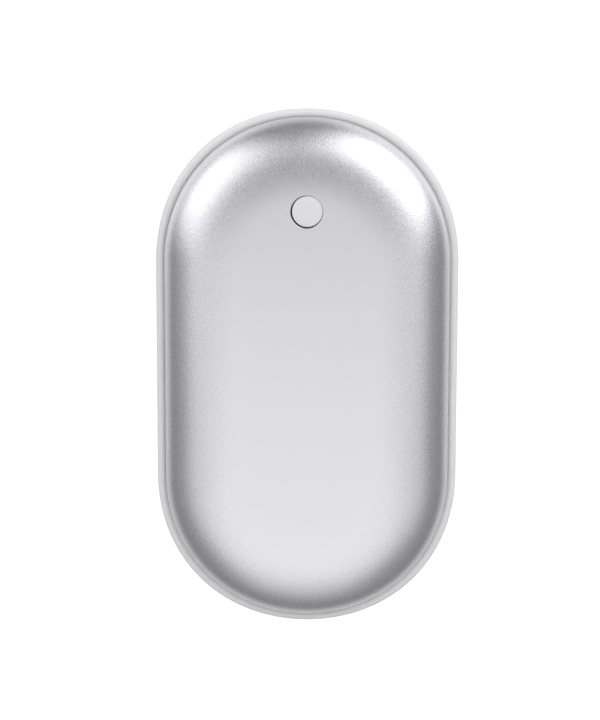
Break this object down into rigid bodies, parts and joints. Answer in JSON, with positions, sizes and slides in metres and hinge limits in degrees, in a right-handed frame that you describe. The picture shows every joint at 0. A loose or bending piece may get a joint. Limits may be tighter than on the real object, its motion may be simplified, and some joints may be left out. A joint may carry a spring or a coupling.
{
  "type": "rechargeable hand warmer",
  "caption": "Pocket-sized rechargeable hand warmer: flat rounded racetrack body of two domed metal shells in a translucent band, with a push button and two sockets in one end.",
  "frame": {"origin": "middle of the flat on the back shell, on which the warmer lies, below the middle of its outline", "axes": "+Z out of the front shell, through the button's side; +Y along the length, towards the button and the sockets; +X to the right with the front shell facing the viewer and the button's end up"},
  "size_m": [0.06, 0.103, 0.0261],
  "materials": {
    "shell_aluminium": "satin, bead blasted and anodised",
    "band_plastic": "satin, milky translucent",
    "button_plastic": "smooth, milky translucent",
    "white_plastic": "satin",
    "black_plastic": "satin",
    "adhesive": "matt",
    "polyimide_film": "smooth, amber",
    "foam": "matt, closed cell",
    "cell_can": "plain metal",
    "cell_sleeve": "smooth",
    "nickel_strip": "bright",
    "insulating_paper": "matt",
    "circuit_board": "satin",
    "plated_steel": "bright",
    "gold_contacts": "bright",
    "ferrite": "matt",
    "diode": "clear",
    "red_wire": "smooth",
    "black_wire": "smooth",
    "white_wire": "smooth"
  },
  "bodies": {
    "case": {"front_shell": "shell_aluminium", "back_shell": "shell_aluminium", "mid_frame": "band_plastic", "front_bond_ring": "adhesive", "back_bond_ring": "adhesive", "button_guide": "white_plastic", "front_heater": "polyimide_film", "back_heater": "polyimide_film", "front_foam_pad": "foam", "back_foam_pad": "foam", "thermistor": "polyimide_film", "cell_left": "cell_can", "cell_right": "cell_can", "cell_left_sleeve": "cell_sleeve", "cell_right_sleeve": "cell_sleeve", "cell_left_washer": "insulating_paper", "cell_right_washer": "insulating_paper", "positive_strip": "nickel_strip", "negative_strip": "nickel_strip", "insulating_paper": "insulating_paper", "main_board": "circuit_board", "board_screw_left": "plated_steel", "board_screw_right": "plated_steel", "usb_a_shell": "plated_steel", "usb_a_insulator": "white_plastic", "usb_a_contact_1": "gold_contacts", "usb_a_contact_2": "gold_contacts", "usb_a_contact_3": "gold_contacts", "usb_a_contact_4": "gold_contacts", "micro_usb_shell": "plated_steel", "micro_usb_tongue": "black_plastic", "switch_base": "black_plastic", "switch_cover": "plated_steel", "charge_chip": "black_plastic", "control_chip": "black_plastic", "power_inductor": "ferrite", "heater_transistor": "black_plastic", "output_capacitor": "cell_can", "status_led_left": "diode", "status_led_right": "diode", "battery_wire_red": "red_wire", "battery_wire_black": "black_wire", "front_heater_wire_left": "white_wire", "front_heater_wire_right": "white_wire", "back_heater_wire_left": "white_wire", "back_heater_wire_right": "white_wire", "thermistor_wire_left": "white_wire", "thermistor_wire_right": "white_wire"},
    "button": {"button_cap": "button_plastic"},
    "plunger": {"switch_plunger": "black_plastic"}
  },
  "joints": [
    {"name": "button_press", "type": "slide", "parent": "case", "child": "button", "axis": [0, 0, -1], "range_m": [0, 0.00025], "stiffness_N_per_m": 600, "springref_m": -0.002},
    {"name": "plunger_press", "type": "slide", "parent": "case", "child": "plunger", "axis": [0, 0, -1], "range_m": [0, 0.00025]}
  ],
  "couplings": [
    {"joint": "plunger_press", "follows": "button_press", "ratio": 1}
  ]
}
